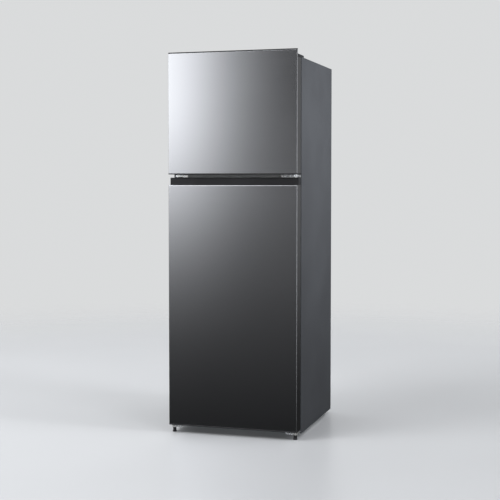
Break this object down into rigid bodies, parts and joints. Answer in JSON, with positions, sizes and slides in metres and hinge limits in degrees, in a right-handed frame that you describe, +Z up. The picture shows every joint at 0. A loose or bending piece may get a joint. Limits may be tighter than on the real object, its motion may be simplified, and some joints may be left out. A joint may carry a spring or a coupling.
{
  "type": "top freezer refrigerator",
  "caption": "Free-standing top freezer refrigerator with dark steel doors, recessed grips, glass shelves, door bins, a crisper and a rear compressor bay.",
  "frame": {"origin": "at floor level under the middle of the refrigerator's bounding box", "axes": "+Z up, -Y towards the person who opens the doors, +X towards the hinge side"},
  "size_m": [0.595, 0.65, 1.702],
  "materials": {
    "door_steel": "satin",
    "cabinet_paint": "satin",
    "galvanised_sheet": "matte",
    "plated_steel": "satin",
    "mullion_steel": "satin",
    "black_plastic": "satin",
    "liner_plastic": "satin",
    "white_trim": "satin",
    "clear_plastic": "gloss",
    "drawer_plastic": "gloss",
    "lamp_lens": "satin",
    "shelf_glass": "gloss",
    "seal_rubber": "satin",
    "mount_rubber": "matte",
    "foam": "matte",
    "fin_aluminium": "satin",
    "copper": "satin",
    "compressor_enamel": "gloss",
    "grey_plastic": "satin"
  },
  "bodies": {
    "cabinet": {"side_panel_right": "cabinet_paint", "side_panel_left": "cabinet_paint", "top_panel": "cabinet_paint", "back_panel": "galvanised_sheet", "base_pan": "galvanised_sheet", "front_rail": "cabinet_paint", "compressor_tray": "galvanised_sheet", "mullion": "mullion_steel", "cabinet_foam": "foam", "fridge_liner": "liner_plastic", "freezer_liner": "liner_plastic", "condenser_tubes": "copper", "evaporator": "fin_aluminium", "evaporator_cover": "liner_plastic", "fan_motor": "grey_plastic", "defrost_heater": "fin_aluminium", "compressor": "compressor_enamel", "compressor_grommets": "mount_rubber", "relay_box": "black_plastic", "refrigerant_tubes": "copper", "drip_pan": "black_plastic", "drain_tube": "grey_plastic", "compressor_cover": "galvanised_sheet", "cord_gland": "black_plastic", "glass_shelves": "shelf_glass", "freezer_shelf": "shelf_glass", "shelf_trims": "white_trim", "air_duct_cover": "white_trim", "control_housing": "white_trim", "lamp_cover": "lamp_lens", "top_hinge": "plated_steel", "top_hinge_cover": "black_plastic", "middle_hinge": "plated_steel", "bottom_hinge": "plated_steel", "left_foot_bracket": "plated_steel", "screws": "plated_steel", "blanking_plugs": "plated_steel", "roller_brackets": "plated_steel"},
    "freezer_door": {"freezer_door_skin": "door_steel", "freezer_door_top_cap": "black_plastic", "freezer_door_bottom_cap": "black_plastic", "freezer_door_foam": "foam", "freezer_door_liner": "liner_plastic", "freezer_door_gasket": "seal_rubber", "freezer_door_bins": "clear_plastic"},
    "fridge_door": {"fridge_door_skin": "door_steel", "fridge_door_top_cap": "black_plastic", "fridge_door_bottom_cap": "black_plastic", "fridge_door_foam": "foam", "fridge_door_liner": "liner_plastic", "fridge_door_gasket": "seal_rubber", "fridge_door_bins": "clear_plastic"},
    "crisper": {"crisper_drawer": "drawer_plastic"},
    "dial": {"thermostat_knob": "white_trim"},
    "fan": {"fan_blade": "white_trim"},
    "damper": {"damper_slider": "grey_plastic"},
    "left_foot": {"front_left_foot": "black_plastic"},
    "right_foot": {"front_right_foot": "black_plastic"},
    "left_roller": {"rear_left_roller": "grey_plastic"},
    "right_roller": {"rear_right_roller": "grey_plastic"}
  },
  "joints": [
    {"name": "freezer_door_hinge", "type": "hinge", "parent": "cabinet", "child": "freezer_door", "pos_m": [0.2825, -0.293, 1.662], "axis": [0, 0, 1], "range_deg": [0, 120]},
    {"name": "fridge_door_hinge", "type": "hinge", "parent": "cabinet", "child": "fridge_door", "pos_m": [0.2825, -0.293, 0.043], "axis": [0, 0, 1], "range_deg": [0, 120]},
    {"name": "crisper_slide", "type": "slide", "parent": "cabinet", "child": "crisper", "axis": [0, -1, 0], "range_m": [0, 0.075]},
    {"name": "temperature_dial", "type": "hinge", "parent": "cabinet", "child": "dial", "pos_m": [0.062, -0.12, 1.097], "axis": [0, -1, 0], "range_deg": [0, 270]},
    {"name": "fan_spin", "type": "hinge", "parent": "cabinet", "child": "fan", "pos_m": [0, 0.209, 1.512], "axis": [0, -1, 0], "continuous": true},
    {"name": "damper_slide", "type": "slide", "parent": "cabinet", "child": "damper", "axis": [1, 0, 0], "range_m": [-0.025, 0.025]},
    {"name": "left_foot_turn", "type": "hinge", "parent": "cabinet", "child": "left_foot", "pos_m": [-0.2825, -0.293, 0.02], "axis": [0, 0, 1], "continuous": true},
    {"name": "right_foot_turn", "type": "hinge", "parent": "cabinet", "child": "right_foot", "pos_m": [0.2825, -0.293, 0.02], "axis": [0, 0, 1], "continuous": true},
    {"name": "left_roller_turn", "type": "hinge", "parent": "cabinet", "child": "left_roller", "pos_m": [-0.262, 0.285, 0.013], "axis": [1, 0, 0], "continuous": true},
    {"name": "right_roller_turn", "type": "hinge", "parent": "cabinet", "child": "right_roller", "pos_m": [0.262, 0.285, 0.013], "axis": [1, 0, 0], "continuous": true}
  ]
}
